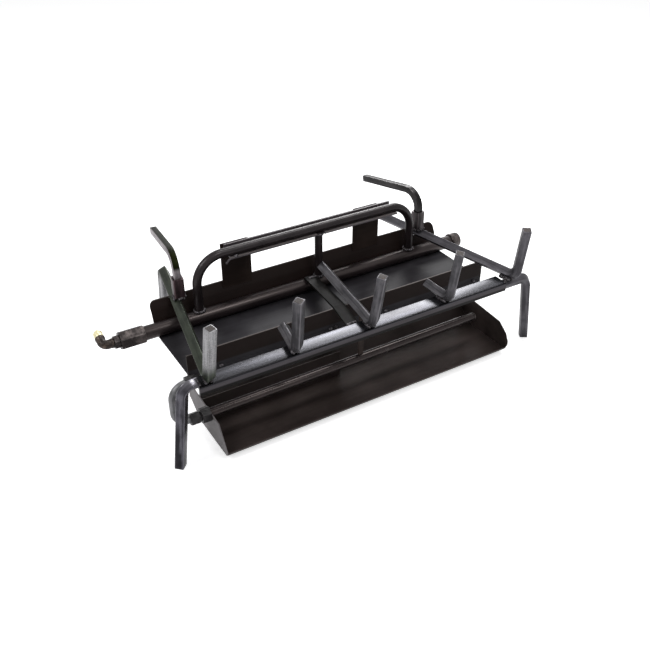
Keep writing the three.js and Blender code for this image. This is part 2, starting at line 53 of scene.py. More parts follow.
CAMERA_PLACE = (-0.54356, -0.94494, 0.76438)
CAMERA_DIP = 33.36
CAMERA_TURN = 31.01
CAMERA_LENS = 45.45
SENSOR_WIDTH = 36
FAR_CLIP = 20

camera = bpy.data.objects.new("camera", bpy.data.cameras.new("camera"))
bpy.context.collection.objects.link(camera)
bpy.context.scene.camera = camera
camera.data.sensor_width = SENSOR_WIDTH
camera.data.lens = CAMERA_LENS
camera.data.clip_end = FAR_CLIP
camera.location = CAMERA_PLACE
camera.rotation_euler = (math.radians(90 - CAMERA_DIP), 0, math.radians(-CAMERA_TURN))

# Sizes that the surfaces share with the solid model

GAP = 0.3                             # between pieces that touch
HANDS = {"left": -1, "right": 1}
ALONG_X = (1, 0, 0)

BAR = 12.7
BAR_BEND = 15
HALF_DIAGONAL = BAR / math.sqrt(2)
PLATE = 3.2
RAIL_TOP = 123.5
RAIL_LOW = 109.5
RAIL_X = (-269.8, 242.2)
RAIL_Y = (-8.2, 17.2)
BAR_Z = RAIL_TOP + GAP + HALF_DIAGONAL

FOOT_X = 304.8                        # of the front feet
LEG_SPLAY = 0.12                      # outward lean of a front leg, per unit of height
LEG_TOPS = {"left": 127, "right": 116.5}
LEG_TWISTS = {"left": 0, "right": -14}       # degrees that each bar turned as it was bent
SIDE_TWISTS = {"left": 20, "right": 0}
SIDE_X = 255                          # of the side bars at the front legs
SIDE_TAPER = {"left": 0.19, "right": 0.203}
REAR_Y = 294
REAR_FOOT_OUT = 6
FINGER_Y = -10.5
FINGER_RISE = 85
FINGER_LEAN = 12.6
FINGER_TUCK = 3.1                     # how far the outer tips lean inward

SOCKET_X = 214.5
SOCKET_Y = 187.5
SOCKET_FOOT = BAR_Z + HALF_DIAGONAL + GAP
SOCKET_HEIGHT = 30
SOCKET_OUTER = 15.9
SOCKET_INNER = 11.7
POST_BAR = 10.5
POST_BEND = 27
POST_TOP = 207
ARM_Y = 322                           # where a post's arm ends
ARM_Z = 186
ARM_TUCK = 17.5                       # how far that end lies inside its socket

PAN_FRONT = (65.8, 67.4)              # the front wall's two faces, in Y
PAN_LOW = 90.5                        # the pan's underside
HEM_LOW = 82.6                        # the lower edge of the strip under its front wall
PAN_HALF = 256.6
PIPE_Y = 176.4
PIPE_Z = 103.35
PIPE_END = 277
PIPE_RADIUS = 10.65
PIPE_BORE = 7.85                      # the bore's radius
PIPE_AXIS = (0, PIPE_Y, PIPE_Z)

LOOP_HALF = 189.5
LOOP_TOP = 198.5
LOOP_FOOT = PIPE_Z + PIPE_RADIUS + GAP
LOOP_RADIUS = 6.85
LOOP_WALL = 2.2
LOOP_BEND = 42
RISER_X = 15.5
RISER_RADIUS = 6.35
RISER_TOP = LOOP_TOP - LOOP_RADIUS - GAP

COUPLING_LEFT = -314
COUPLING_FLATS = 25
BUSHING_FLATS = 18
ORIFICE_X = (-310.8, -302.8)
ORIFICE_CLEAR = 0.35                  # round the orifice, in the coupling's bore
ORIFICE_BORE = 1.2                    # the bore's radius
ELBOW_X = -322.6                      # where the elbow leaves the bushing
ELBOW_RADIUS = 7.25
ELBOW_REACH = 15
ELBOW_TILT = 20                       # degrees that the inlet points above level
ELBOW_COLLAR = 4.2                    # length of the collar at each end
ELBOW_NECK = 0.93                     # radius between the collars, per unit of theirs

EMBER_HALF = 246.3
EMBER_Y = 27
EMBER_Z = 48.5
EMBER_END = 212                       # the ember tube's free end, in X
EMBER_RISE = 4                        # how much higher that end lies
EMBER_RADIUS = 6.85
EMBER_WALL = 1.6
EMBER_SEAT = 7.15                     # how far the tube reaches into its lock nut
FEED_X = -296.5
FEED_RISE = 62.5
FEED_RADIUS = 4.75
FEED_BEND = 21
FEED_NUT_FLATS = 15.5
LOCK_NUT_FLATS = 20
NUT_LENGTH = 13
NIPPLE_RADIUS = 5.9
NIPPLE_BORE = 3.75                    # the bore's radius
NIPPLE_SEAT = 5.2                     # how far a nipple reaches into the lock nut

PORT_BORE = 2
PORT_PITCH = 32
PORT_INSET = 40

# Fineness of the surfaces

BAR_EDGE = 0.9                        # round on a bar's long edges
END_EDGE = 0.5                        # round at the ends of bars and tubes
TUBE_SIDES = 56
NUT_SIDES = 96
NUT_RIM = 1.03                        # a nut's round face, per unit of half its flats
NUT_CONE = 0.6                        # slope of the cone at that face
NUT_EDGE = 0.15
PORT_SIDES = 12
WELD_SIDES = 14
WELD_PITCH = 2.6                      # from one ripple to the next
WELD_STEP = 0.45
SMOOTH_ANGLE = 38                     # degrees below which an edge is shaded smooth
MERGE_DISTANCE = 2e-6                 # metres

# A sawn tip's cut face: how far it stands out, reaches in and keeps from the bar's sides,
# and the round of its corners
CUT_OUT = 0.2
CUT_IN = 0.3
CUT_MARGIN = 1.4
CUT_EDGE = 0.6


def shift_from_frame():
    """The grate's zero point in the shared frame, in metres: X from the pan, Y from a front leg."""
    pan_low, pan_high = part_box("main_pan")
    leg_low, leg_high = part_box("left_front_leg")
    return np.array([(pan_low[0] + pan_high[0]) / 2, (leg_low[1] + leg_high[1]) / 2, 0.0])


SHIFT = shift_from_frame()

# Surfaces


def unit(v):
    """Vectors at length one."""
    return v / np.linalg.norm(v, axis=-1, keepdims=True)


def bent_path(corners, radius, steps=16):
    """Straight runs joined by arcs: P(t) = centre - r cos(t) inward + r sin(t) before."""
    corners = np.asarray(corners, float)
    points = [corners[:1]]
    tangents = [unit(corners[1:2] - corners[:1])]
    for a, b, c in zip(corners, corners[1:], corners[2:]):
        before, after = unit(b - a), unit(c - b)
        angle = math.acos(float(before @ after))
        inward = np.cross(unit(np.cross(before, after)), before)
        centre = b - before * radius * math.tan(angle / 2) + inward * radius
        t = np.linspace(0, angle, steps + 1)[:, None]
        points.append(centre - inward * radius * np.cos(t) + before * radius * np.sin(t))
        tangents.append(before * np.cos(t) + inward * np.sin(t))
    points.append(corners[-1:])
    tangents.append(unit(corners[-1:] - corners[-2:-1]))
    return np.concatenate(points), np.concatenate(tangents)


def filleted(corners, radii, steps=5):
    """A closed outline with a round arc of its own radius at each corner."""
    corners = np.asarray(corners, float)
    radii = np.broadcast_to(radii, len(corners))
    before = unit(corners - np.roll(corners, 1, 0))
    after = unit(np.roll(corners, -1, 0) - corners)
    crossed = before[:, 0] * after[:, 1] - before[:, 1] * after[:, 0]
    turn = np.arctan2(crossed, np.sum(before * after, 1))
    setback = radii * np.tan(np.abs(turn) / 2)
    t = np.linspace(0, 1, steps)[None, :] * turn[:, None]
    left = np.stack([-before[:, 1], before[:, 0]], 1) * np.sign(turn)[:, None]
    start = corners - before * setback[:, None]
    centre = start + left * radii[:, None]
    radii = radii[:, None, None]
    c, s = np.cos(np.abs(t))[..., None], np.sin(np.abs(t))[..., None]
    arc = centre[:, None] - left[:, None] * radii * c + before[:, None] * radii * s
    return arc.reshape(-1, 2)


def square_section(size, edge, twist=0.0, flat=False):
    """A square with rounded edges, on its edge or flat, turned by a twist in degrees."""
    turn = math.radians(twist) + (math.pi / 4 if flat else 0)
    angles = turn + np.arange(4) * math.pi / 2
    corners = size / math.sqrt(2) * np.stack([np.cos(angles), np.sin(angles)], 1)
    return filleted(corners, edge)


def rectangle(low, high, corner):
    """A rectangle between two (Y, Z) corners, with rounded corners."""
    return filleted([low, (high[0], low[1]), high, (low[0], high[1])], corner)


def round_section(radius, sides=40):
    """A circle."""
    angles = np.arange(sides) * 2 * math.pi / sides
    return radius * np.stack([np.cos(angles), np.sin(angles)], 1)


def carried(section, points, tangents, side, scale=None):
    """A section carried along a path: P(s, a) = path(s) + scale(s) (x(a) n(s) + y(a) b(s))."""
    side = np.asarray(side, float)
    normals = unit(side - tangents * (tangents @ side)[:, None])
    binormals = np.cross(tangents, normals)
    scale = np.ones(len(points)) if scale is None else scale
    across = section[None, :, :1] * normals[:, None] + section[None, :, 1:] * binormals[:, None]
    return points[:, None] + scale[:, None, None] * across


def eased_ends(points, tangents, edge, half, spacing=6.0):
    """Even stations on the straight runs, and at both ends three more that round the edge.

    There the section's scale is 1 - edge / half (1 - sin(phi)), for phi from 0 to 60 degrees.
    """
    p, t = [points[0]], [tangents[0]]
    for a, b, ta, tb in zip(points, points[1:], tangents, tangents[1:]):
        length = np.linalg.norm(b - a)
        inner = np.linspace(0, 1, max(2, int(length / spacing) + 1))[1:, None]
        p.extend(a + (b - a) * inner)
        t.extend(unit(ta + (tb - ta) * inner))
    p, t = np.array(p), np.array(t)
    phi = np.linspace(0, math.pi / 2, 4)[:-1, None]
    first = p[0] + t[0] * edge * (1 - np.cos(phi))
    last = (p[-1] - t[-1] * edge * (1 - np.cos(phi)))[::-1]
    inset = 1 - edge / half * (1 - np.sin(phi[:, 0]))
    p = np.concatenate([first, [p[0] + t[0] * edge], p[1:-1], [p[-1] - t[-1] * edge], last])
    t = np.concatenate([np.repeat(t[:1], 4, 0), t[1:-1], np.repeat(t[-1:], 4, 0)])
    scale = np.concatenate([inset, np.ones(len(p) - 2 * len(inset)), inset[::-1]])
    return p, t, scale


def finished(name, mesh, body, finish, nodes):
    """A piece with its material, its body and the nodes that it stands for."""
    piece = bpy.data.objects.new(name, mesh)
    bpy.context.collection.objects.link(piece)
    mesh.materials.append(finish)
    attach(piece, body)
    if nodes:
        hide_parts(*nodes)
    return piece


def skin(name, grid, finish, nodes=(), body=FIXED, closed=False, sharp=SMOOTH_ANGLE):
    """A skin over a grid whose rows are stations and whose columns go round.

    If closed, its ends meet, and otherwise they have caps. Its map "run" holds the way along and
    the way round, in metres.
    """
    rows, cols = grid.shape[:2]
    i, j = np.meshgrid(np.arange(rows if closed else rows - 1), np.arange(cols), indexing="ij")
    below, beside = (i + 1) % rows, (j + 1) % cols
    quads = np.stack([i * cols + j, i * cols + beside, below * cols + beside, below * cols + j], -1)
    faces = quads.reshape(-1, 4).tolist()
    if not closed:
        faces.append(list(range(cols))[::-1])
        faces.append(list(range((rows - 1) * cols, rows * cols)))
    mesh = bpy.data.meshes.new(name)
    vertices = grid.reshape(-1, 3) / 1000 + SHIFT
    mesh.from_pydata(vertices.tolist(), [], faces)
    mesh.polygons.foreach_set("use_smooth", np.ones(len(faces), bool))
    ring = grid[rows // 2]
    around = np.concatenate([[0], np.cumsum(np.linalg.norm(np.roll(ring, -1, 0) - ring, axis=1))])
    line = grid[:, 0]
    along = np.concatenate([[0], np.cumsum(np.linalg.norm(np.roll(line, -1, 0) - line, axis=1))])
    u = np.stack([along[i], along[i], along[i + 1], along[i + 1]], -1)
    v = np.stack([around[j], around[j + 1], around[j + 1], around[j]], -1)
    uv = np.stack([u, v], -1).reshape(-1, 2)
    if not closed:
        caps = vertices[:cols][::-1], vertices[-cols:]
        ends = [np.stack([end[:, 0] + end[:, 1], end[:, 2] + end[:, 1]], 1) * 1000 for end in caps]
        uv = np.concatenate([uv, *ends])
    layer = mesh.uv_layers.new(name="run")
    layer.data.foreach_set("uv", (uv / 1000).astype(np.float32).ravel())
    mesh.set_sharp_from_angle(angle=math.radians(sharp))
    mesh.update()
    return finished(name, mesh, body, finish, nodes)


def bar(name, corners, side, finish, nodes, body=FIXED, size=BAR, twist=0.0, flat=False,
        bend=BAR_BEND, level=False, sawn=False):
    """A bent square bar. A level foot is cut along the floor, and a sawn tip has a darker face."""
    points, tangents = bent_path(corners, bend)
    points, tangents, scale = eased_ends(points, tangents, END_EDGE, size / 2)
    grid = carried(square_section(size, BAR_EDGE, twist, flat), points, tangents, side, scale)
    if level:
        rows = slice(-4, None)
        slope = tangents[-1] / tangents[-1][2]
        offset = points[rows, 2] - points[-1, 2]
        grid[rows] -= slope * (grid[rows, :, 2:] - offset[:, None, None])
    if sawn:
        ends = points[0] + np.array([[-CUT_OUT], [CUT_IN]]) * tangents[0]
        section = square_section(size - 2 * CUT_MARGIN, CUT_EDGE, twist, flat)
        face = carried(section, ends, np.repeat(tangents[:1], 2, 0), side)
        skin(f"{name}_cut", face, SAWN_STEEL, (), body)
    skin(name, grid, finish, nodes, body)


def rod(name, corners, radius, side, finish, nodes, bend, steps, sides=40):
    """A bent round bar or tube, closed at its ends. Bend is a radius, with a number of steps."""
    points, tangents = bent_path(corners, bend, steps)
    points, tangents, scale = eased_ends(points, tangents, END_EDGE, radius)
    grid = carried(round_section(radius, sides), points, tangents, side, scale)
    return skin(name, grid, finish, nodes)


def turned(name, profile, origin, axis, finish, nodes, body=FIXED, corner=None):
    """A profile of (distance, radius) points, turned about an axis.

    With a corner's radius, the profile is closed and its corners are rounded. Without one, it
    gets flat ends.
    """
    profile = np.asarray(profile, float)
    if corner:
        profile = filleted(profile, corner, 4)
    axis = unit(np.asarray(axis, float))
    helper = np.array([0, 0, 1.0]) if abs(axis[2]) < 0.9 else np.array([1.0, 0, 0])
    u = unit(np.cross(helper, axis))
    w = np.cross(axis, u)
    a = np.arange(TUBE_SIDES) * 2 * math.pi / TUBE_SIDES
    radial = np.cos(a)[:, None] * u + np.sin(a)[:, None] * w
    grid = np.asarray(origin) + profile[:, None, :1] * axis + profile[:, None, 1:] * radial[None]
    return skin(name, grid, finish, nodes, body, closed=corner is not None)


def pipe(name, start, end, outer, inner, origin, axis, finish, nodes, corner=0.4):
    """A straight pipe: the closed profile of its wall, turned."""
    profile = [(end, inner), (end, outer), (start, outer), (start, inner)]
    return turned(name, profile, origin, axis, finish, nodes, corner=corner)


def hex_nut(name, start, end, flats, inner, origin, finish, nodes):
    """A six-sided nut on X: radius h / cos(a), and cones of some 30 degrees at both faces."""
    a = np.arange(NUT_SIDES) * 2 * math.pi / NUT_SIDES
    face = flats / 2 / np.cos((a % (math.pi / 3)) - math.pi / 6)
    rim = np.minimum(face, flats / 2 * NUT_RIM)
    drop = (face - rim) * NUT_CONE + NUT_EDGE
    one = np.ones(NUT_SIDES)
    rows = [(start * one, inner * one), (start * one, rim), (start + drop, face),
            (end - drop, face), (end * one, rim), (end * one, inner * one)]
    x = np.array([row[0] for row in rows])
    r = np.array([row[1] for row in rows])
    grid = np.stack([x, r * np.sin(a), r * np.cos(a)], -1)[::-1] + np.asarray(origin, float)
    skin(name, grid, finish, nodes, closed=True, sharp=28)


def shaped(name, outline, start, end, finish, nodes):
    """An outline in Y and Z, pushed along X, in three short steps at both ends."""
    points = np.array([[start, 0, 0], [end, 0, 0]], float)
    tangents = np.array([[1.0, 0, 0]] * 2)
    stations = eased_ends(points, tangents, 0.3, 10, spacing=20)[0]
    grid = np.repeat(stations[:, None, :], len(outline), 1)
    grid[..., 1:] += outline
    skin(name, grid, finish, nodes)


def softened(name, node, finish, width=0.35):
    """A copy of a cut sheet: doubles merged, flat faces joined and edges rounded."""
    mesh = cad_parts[node].data.copy()
    mesh.materials.clear()
    mesh.name = name
    work = bmesh.new()
    work.from_mesh(mesh)
    bmesh.ops.remove_doubles(work, verts=work.verts, dist=MERGE_DISTANCE)
    bmesh.ops.dissolve_limit(work, angle_limit=math.radians(1), verts=work.verts, edges=work.edges)
    work.to_mesh(mesh)
    work.free()
    piece = finished(name, mesh, FIXED, finish, [node])
    bevel = piece.modifiers.new("edges", "BEVEL")
    bevel.width = width / 1000
    bevel.segments = 2
    bevel.limit_method = "ANGLE"
    bevel.angle_limit = math.radians(25)
    mesh.polygons.foreach_set("use_smooth", np.ones(len(mesh.polygons), bool))
    mesh.set_sharp_from_angle(angle=math.radians(30))


def ported(piece, start, end, origin, axis, outward, radius, thickness):
    """A row of gas ports through one side of a tube's wall: prisms, taken away from the tube."""
    count = int((end - start - 2 * PORT_INSET) / PORT_PITCH) + 1
    along = (start + end) / 2 + (np.arange(count) - (count - 1) / 2) * PORT_PITCH
    axis, outward = np.asarray(axis, float), np.asarray(outward, float)
    a = np.arange(PORT_SIDES) * 2 * math.pi / PORT_SIDES
    beside = np.cross(outward, axis)
    ring = PORT_BORE / 2 * (np.cos(a)[:, None] * axis + np.sin(a)[:, None] * beside)
    depths = np.array([radius - 1.5 * thickness, radius + 0.5 * thickness])
    centres = np.asarray(origin, float) + along[:, None] * axis
    points = centres[:, None, None] + depths[:, None, None] * outward + ring
    j = np.arange(PORT_SIDES)
    k = (j + 1) % PORT_SIDES
    sides = np.stack([j, k, k + PORT_SIDES, j + PORT_SIDES], 1)
    prism = [*sides.tolist(), j[::-1].tolist(), (j + PORT_SIDES).tolist()]
    firsts = range(0, count * 2 * PORT_SIDES, 2 * PORT_SIDES)
    faces = [[first + corner for corner in face] for first in firsts for face in prism]
    cutter_mesh = bpy.data.meshes.new("ports")
    cutter_mesh.from_pydata((points.reshape(-1, 3) / 1000 + SHIFT).tolist(), [], faces)
    cutter = bpy.data.objects.new("ports", cutter_mesh)
    bpy.context.collection.objects.link(cutter)
    cut = piece.modifiers.new("ports", "BOOLEAN")
    cut.object = cutter
    cut.solver = "EXACT"
    bpy.context.view_layer.update()
    evaluated = piece.evaluated_get(bpy.context.evaluated_depsgraph_get())
    mesh = bpy.data.meshes.new_from_object(evaluated)
    piece.modifiers.clear()
    solid, piece.data = piece.data, mesh
    bpy.data.meshes.remove(solid)
    mesh.name = piece.name
    mesh.set_sharp_from_angle(angle=math.radians(SMOOTH_ANGLE))
    bpy.data.objects.remove(cutter)
    bpy.data.meshes.remove(cutter_mesh)


def bead(name, path, radius, seed):
    """A weld run: a round section whose radius ripples along it.

    r(s) = r0 end(s) (1 + 0.16 sin(2 pi s / pitch) + wobble(s)), where end(s) rounds both ends.
    """
    path = np.asarray(path, float)
    lengths = np.concatenate([[0], np.cumsum(np.linalg.norm(np.diff(path, axis=0), axis=1))])
    count = max(12, int(lengths[-1] / WELD_STEP))
    s = np.linspace(0, lengths[-1], count)
    points = np.stack([np.interp(s, lengths, path[:, k]) for k in range(3)], 1)
    tangents = unit(np.gradient(points, axis=0))
    rng = np.random.default_rng(seed + 11)
    wobble = np.interp(s, np.linspace(0, s[-1], 7), rng.uniform(-0.14, 0.14, 7))
    x = np.abs(2 * s / s[-1] - 1)
    ends = np.sqrt(np.clip(1 - np.clip((x - 1) * s[-1] / (2 * radius) + 1, 0, 1) ** 2, 0.02, 1))
    scale = ends * (1 + 0.16 * np.sin(2 * math.pi * s / WELD_PITCH) + wobble)
    askew = np.array([0.31, 0.17, 0.94])
    grid = carried(round_section(radius, WELD_SIDES), points, tangents, askew, scale)
    skin(name, grid, WELD, sharp=80)


def ring_bead(name, centre, ring, radius, seed):
    """A weld run round an upright pipe: the same rippled section, along a circle."""
    a = np.radians(np.linspace(0, 360, 48))
    circle = np.stack([-np.sin(a), np.cos(a), np.zeros(len(a))], 1)
    bead(name, np.asarray(centre, float) + ring * circle, radius, seed)


# Finishes

NOISE_ROUGHNESS = 0.55


class Value:
    """A socket that works in Python sums: each operator adds its Math node."""

    def __init__(self, tree, socket):
        self.tree = tree
        self.socket = socket

    def _math(self, operation, other=None, swapped=False):
        node = self.tree.nodes.new("ShaderNodeMath")
        node.operation = operation
        for slot, term in zip(node.inputs, (other, self) if swapped else (self, other)):
            if isinstance(term, Value):
                self.tree.links.new(term.socket, slot)
            elif term is not None:
                slot.default_value = term
        return Value(self.tree, node.outputs[0])

    def __add__(self, other):
        return self._math("ADD", other)

    def __radd__(self, other):
        return self._math("ADD", other, True)

    def __sub__(self, other):
        return self._math("SUBTRACT", other)

    def __rsub__(self, other):
        return self._math("SUBTRACT", other, True)

    def __mul__(self, other):
        return self._math("MULTIPLY", other)

    def fraction(self):
        return self._math("FRACT")

    def size(self):
        return self._math("ABSOLUTE")


class Finish:
    """A material being made: node() adds any node with its settings first, then its inputs."""

    def __init__(self, name, slot):
        self.material = bpy.data.materials.new(name)
        self.material.use_nodes = True
        self.tree = self.material.node_tree
        self.shader = self.tree.nodes["Principled BSDF"]

    def set(self, node, key, value):
        """One input of a node, linked to a value or set to a number."""
        if isinstance(value, Value):
            self.tree.links.new(value.socket, node.inputs[key])
        else:
            node.inputs[key].default_value = value

    def node(self, kind, settings=None, inputs=None, output=0):
        node = self.tree.nodes.new(kind)
        for key, value in (settings or {}).items():
            setattr(node, key, value)
        for key, value in (inputs or {}).items():
            self.set(node, key, value)
        return Value(self.tree, node.outputs[output])

    def place(self, stretch=(1, 1, 1), run=False):
        """Coordinates: the object's own, or along and round a bar, each stretched."""
        if run:
            source = self.node("ShaderNodeUVMap", {"uv_map": "run"})
        else:
            source = self.node("ShaderNodeTexCoord", output=3)
        return self.node("ShaderNodeMapping", inputs={0: source, 3: stretch})

    def part(self, vector, axis):
        """One part of a vector: 0, 1 or 2 for X, Y or Z."""
        return self.node("ShaderNodeSeparateXYZ", inputs={0: vector}, output=axis)

    def noise(self, scale, detail, stretch=(1, 1, 1), run=False):
        inputs = {"Vector": self.place(stretch, run), "Scale": scale, "Detail": detail}
        return self.node("ShaderNodeTexNoise", inputs={**inputs, "Roughness": NOISE_ROUGHNESS})

    def band(self, value, low, high):
        """Value taken from low..high to 0..1, smoothly, and held there."""
        settings = {"interpolation_type": "SMOOTHSTEP", "clamp": True}
        return self.node("ShaderNodeMapRange", settings, {0: value, 1: low, 2: high})

    def mix(self, factor, a, b):
        return self.node("ShaderNodeMix", {"data_type": "RGBA"}, {0: factor, 6: a, 7: b}, 2)

    def finish(self, colour, roughness, metallic, height, depth, **fixed):
        """The shader's inputs, with a bump whose depth is in metres."""
        fixed.update({"Base Color": colour, "Roughness": roughness, "Metallic": metallic})
        bump = {"Strength": 1.0, "Distance": depth, "Height": height}
        fixed["Normal"] = self.node("ShaderNodeBump", inputs=bump)
        for name, value in fixed.items():
            self.set(self.shader, name.replace("_", " "), value)
        return self.material


def rgb(red, green, blue):
    """A colour given as it looks on screen, 0 to 255, turned linear."""
    screen = np.array([red, green, blue]) / 255
    linear = np.where(screen < 0.04045, screen / 12.92, ((screen + 0.055) / 1.055) ** 2.4)
    return (*linear.tolist(), 1.0)


def mill_scale_bar(name, slot, light, dark, size=BAR, wear_and_highlight=(), face=None, base_roughness=0.42):
    """Hot-rolled bar: dark scale with lighter streaks and rubbed patches, a painted highlight along
    its edges, and fine pits.

    The edges are where the way round the bar, v, is a whole number of sides:
    |frac(v / size + 1/2) - 1/2| is near 0 there. The round on the first edge takes 0.03 off 1/2.
    Each lighter zone is (low, high, share): between two heights in metres the bar is painted
    lighter with streaks, a painted highlight where the light falls on a tip or a bend.
    Face is one side of the bar, counted round it, its colour and its lowest height in metres;
    above that height that side is painted darker, as painted shade.
    """
    f = Finish(name, slot)
    streaks = f.noise(95, 4, (0.12, 1.6, 1), run=True)
    patches = f.noise(38, 3)
    pits = f.noise(620, 2)
    count = f.part(f.place(run=True), 1) * (1000 / size)
    to_edge = ((count + 0.47).fraction() - 0.5).size()
    # Painted highlight: the long edges are lighter, on top of the real streaks and rubbed patches
    edge = 1 - f.band(to_edge, 0.02, 0.14)
    rubbed = f.band(streaks + patches * 0.6 + edge * 0.22, 0.62, 1.02)
    colour = f.mix(rubbed, dark, light)
    colour = f.mix(f.band(pits, 0.6, 0.78) * 0.5, colour, dark)
    height = f.part(f.place(), 2)
    metal = 0.7
    if face:
        # Painted shade: that side takes a darker colour above its height
        index, shade_colour, low = face
        past_start = f.band(count, index + 0.02, index + 0.1)
        past_end = f.band(count, index + 0.9, index + 0.98)
        inside = past_start * (1 - past_end) * f.band(height, low, low + 0.006)
        colour = f.mix(inside, colour, shade_colour)
        metal = inside * (1 - metal) + metal
    # Lighter zones: a streaked light colour between two heights, a painted highlight
    for low, high, share in wear_and_highlight:
        inside = f.band(height, low, low + 0.02) * (1 - f.band(height, high - 0.02, high))
        zone_streaks = f.band(streaks + pits * 0.5, 0.55, 0.95)
        zone_colour = f.mix(zone_streaks, rgb(132, 130, 134), rgb(204, 202, 206))
        colour = f.mix(inside * share, colour, zone_colour)
    roughness = base_roughness - rubbed * 0.12 + pits * 0.1
    return f.finish(colour, roughness, metal, streaks * 0.5 + pits * 0.5, 0.0002)


def rolled_angle():
    """Bare angle: a satin top with streaks and stains, a painted dark reflection along the rolled
    edge, and painted shade on the lower part of the front.
    """
    f = Finish("rolled_angle", "rail")
    streaks = f.noise(60, 4, (0.1, 1.5, 1.5))
    stains = f.noise(26, 3, (0.5, 1, 1))
    grain = f.noise(700, 2, (0.25, 1, 1))
    colour = f.mix(f.band(streaks, 0.35, 0.7), rgb(62, 62, 66), rgb(80, 80, 86))
    colour = f.mix(f.band(stains, 0.56, 0.74) * 0.6, colour, rgb(52, 51, 55))
    place = f.place()
    y, z = f.part(place, 1) * 1000, f.part(place, 2) * 1000
    nose = RAIL_Y[0] + SHIFT[1] * 1000
    # Painted dark reflection: a near-black band along the top's rolled front edge
    near_nose = 1 - f.band(y, nose + 1.6, nose + 3.6)
    edge_dark_reflection = near_nose * f.band(z, RAIL_TOP - 2.6, RAIL_TOP - 1.4)
    colour = f.mix(edge_dark_reflection * 0.92, colour, rgb(16, 15, 18))
    front = 1 - f.band(z, RAIL_TOP - 3.4, RAIL_TOP - 1.8)
    colour = f.mix(front * 0.5, colour, rgb(58, 50, 50))
    # Painted shade: the lower part of the front is made near-black
    low = 1 - f.band(z, RAIL_LOW + 4.2, RAIL_LOW + 6.4)
    colour = f.mix(low * 0.97, colour, rgb(7, 5, 4))
    roughness = 0.17 + stains * 0.12 + grain * 0.05
    return f.finish(colour, roughness, 0.85, streaks * 0.5 + grain * 0.5, 0.00002)


def dark_sheet(name, slot, light, dark, sheen=0.25, lit_edges=(), raised=None):
    """Dark satin sheet: a slow mottle, faint roller lines along X and fine grain.

    Each lit edge is (low Y, high Y, low Z) in the grate's millimetres: a sheared top edge with a
    painted highlight. Raised is a height in millimetres and the warmer colour of the walls above
    it.
    """
    f = Finish(name, slot)
    mottle = f.noise(14, 4)
    lines = f.noise(120, 3, (0.05, 1, 1))
    grain = f.noise(900, 2)
    colour = f.mix(f.band(mottle * 0.7 + lines * 0.3, 0.36, 0.66), dark, light)
    roughness = 0.36 + mottle * 0.12 + grain * 0.06
    place = f.place()
    y, z = f.part(place, 1) * 1000 - SHIFT[1] * 1000, f.part(place, 2) * 1000
    if raised:
        colour = f.mix(f.band(z, raised[0], raised[0] + 3) * 0.85, colour, raised[1])
    # Painted highlight: light grey along each sheared top edge
    for low_y, high_y, low_z in lit_edges:
        depth = f.band(y, low_y, low_y + 0.3) * (1 - f.band(y, high_y - 0.3, high_y))
        inside = depth * f.band(z, low_z, low_z + 0.3)
        colour = f.mix(inside * (0.3 + lines * 0.7), colour, rgb(118, 112, 110))
    height = lines * 0.4 + grain * 0.6
    return f.finish(colour, roughness, 0.0, height, 0.00008, Specular_IOR_Level=sheen)


def black_pipe(name, tint, level, base_roughness):
    """Black steel pipe: a soft tinted sheen, drawn lines along the pipe and thin worn spots."""
    f = Finish(name, "pipe")
    lines = f.noise(110, 3, (0.06, 1.2, 1), run=True)
    mottle = f.noise(30, 4)
    wear_and_highlight = f.noise(260, 3)
    colour = f.mix(f.band(mottle, 0.35, 0.68), rgb(26, 21, 22), rgb(38, 32, 33))
    colour = f.mix(f.band(wear_and_highlight, 0.66, 0.8) * 0.5, colour, rgb(84, 76, 78))
    roughness = base_roughness + mottle * 0.08 + lines * 0.04
    return f.finish(colour, roughness, 0.0, lines * 0.7 + wear_and_highlight * 0.3, 0.000008,
                    Specular_IOR_Level=level, Specular_Tint=tint)


def cast_fitting(name, light, dark, metal):
    """Malleable fitting: a sandy cast skin with rubbed lighter spots."""
    f = Finish(name, "casting")
    sand = f.noise(480, 4)
    rubbed = f.noise(85, 3)
    colour = f.mix(f.band(rubbed, 0.42, 0.7), dark, light)
    return f.finish(colour, 0.3 + sand * 0.15, metal, sand, 0.0004, Specular_IOR_Level=0.4)


def bright_tube():
    """Bare grey tube: faint lines along it and dull fingerprints."""
    f = Finish("bright_tube", "tube")
    lines = f.noise(160, 3, (0.05, 1.4, 1), run=True)
    dull = f.noise(70, 3)
    colour = f.mix(f.band(dull, 0.4, 0.7), rgb(128, 128, 130), rgb(98, 98, 100))
    return f.finish(colour, 0.36 + dull * 0.16, 0.6, lines, 0.00008)


def machined_brass():
    """Machined brass, a little dulled."""
    f = Finish("machined_brass", "brass")
    dull = f.noise(120, 3)
    rings = f.noise(500, 2)
    colour = f.mix(f.band(dull, 0.35, 0.7), rgb(252, 245, 208), rgb(240, 230, 186))
    return f.finish(colour, 0.24 + dull * 0.18, 0.4, rings, 0.00008)


def sawn_steel():
    """A sawn end: fine dark lines and a touch of rust."""
    f = Finish("sawn_steel", "bar")
    lines = f.noise(900, 2, (1, 0.15, 1))
    rust = f.noise(240, 3)
    colour = f.mix(f.band(lines, 0.4, 0.65), rgb(38, 33, 32), rgb(70, 64, 62))
    colour = f.mix(f.band(rust, 0.5, 0.7) * 0.5, colour, rgb(60, 38, 30))
    return f.finish(colour, 0.5 + lines * 0.2, 0.3, lines, 0.0001)


def weld_metal():
    """Weld metal: rough, grey with dark slag in its dips."""
    f = Finish("weld_metal", "post")
    slag = f.noise(420, 4)
    colour = f.mix(f.band(slag, 0.42, 0.62), rgb(34, 30, 31), rgb(112, 108, 112))
    return f.finish(colour, 0.36 + slag * 0.2, 0.6, slag, 0.0005)


